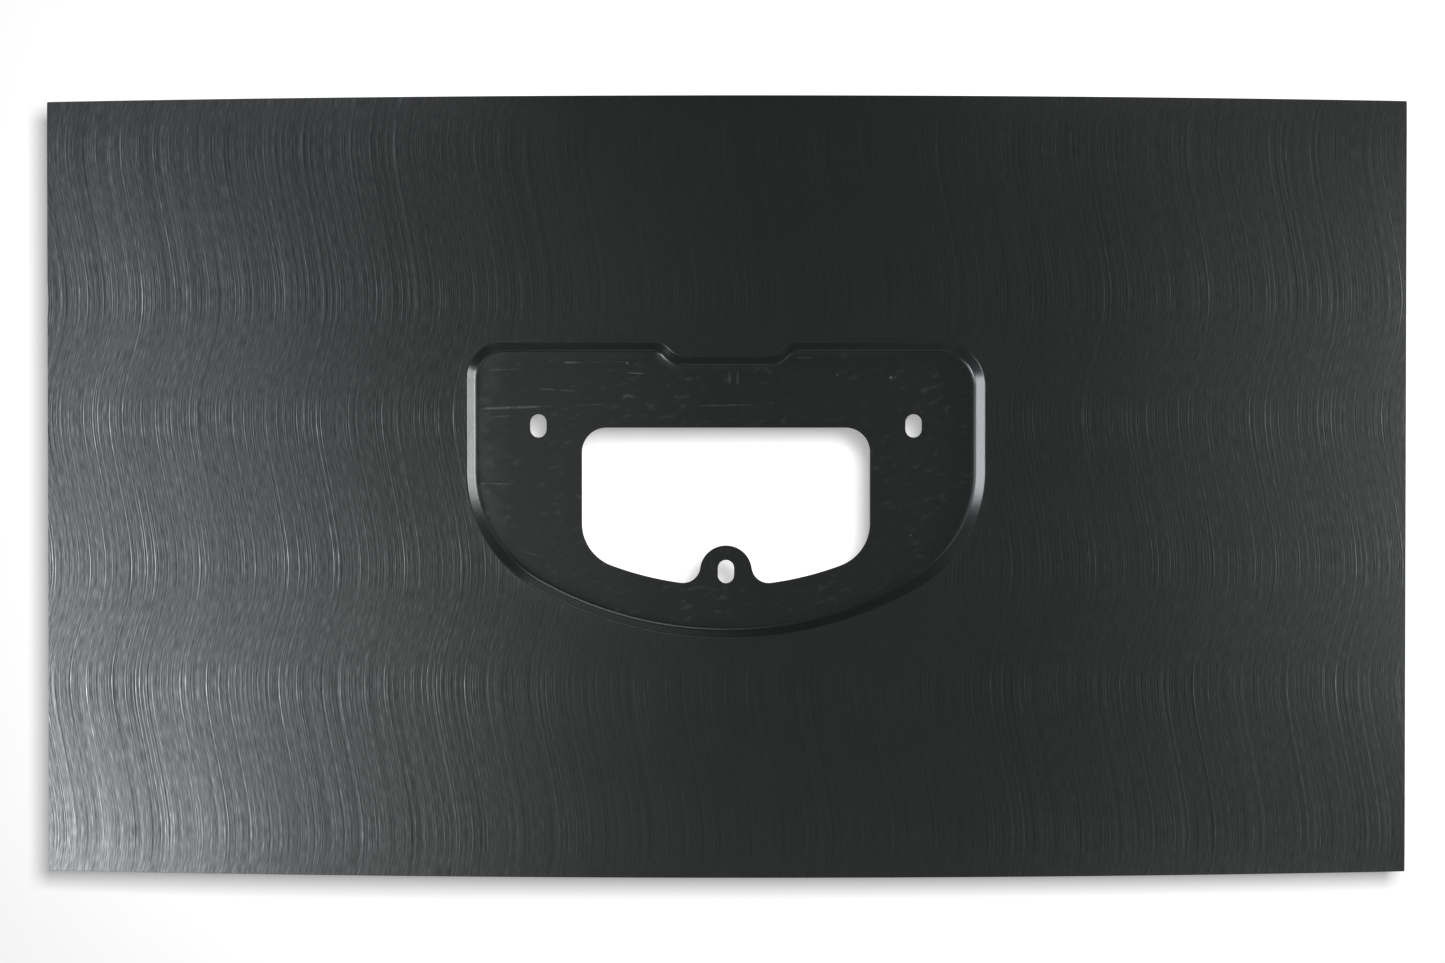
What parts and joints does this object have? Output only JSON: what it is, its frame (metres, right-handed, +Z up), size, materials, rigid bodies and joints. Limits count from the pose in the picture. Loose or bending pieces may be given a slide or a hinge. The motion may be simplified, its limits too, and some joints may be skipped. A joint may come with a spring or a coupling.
{
  "type": "recessed handle panel",
  "caption": "Crowned sheet-steel panel with a pressed D-shaped pocket whose flat floor has a latch window and upright bolt slots.",
  "frame": {"origin": "middle of the panel's width and height, on the front face of the pocket's flat floor; the point lies in the latch window", "axes": "+X across the panel, left to right seen from the front; +Y from the front to the back; +Z up the panel, from the tab's slot towards the notch"},
  "size_m": [0.762, 0.019, 0.4318],
  "materials": {
    "black_coat": "thin satin black coat, with fine wavy upright brush lines outside the pocket and light rub marks in it"
  },
  "bodies": {
    "root": {"pressed_panel": "black_coat"}
  },
  "joints": []
}
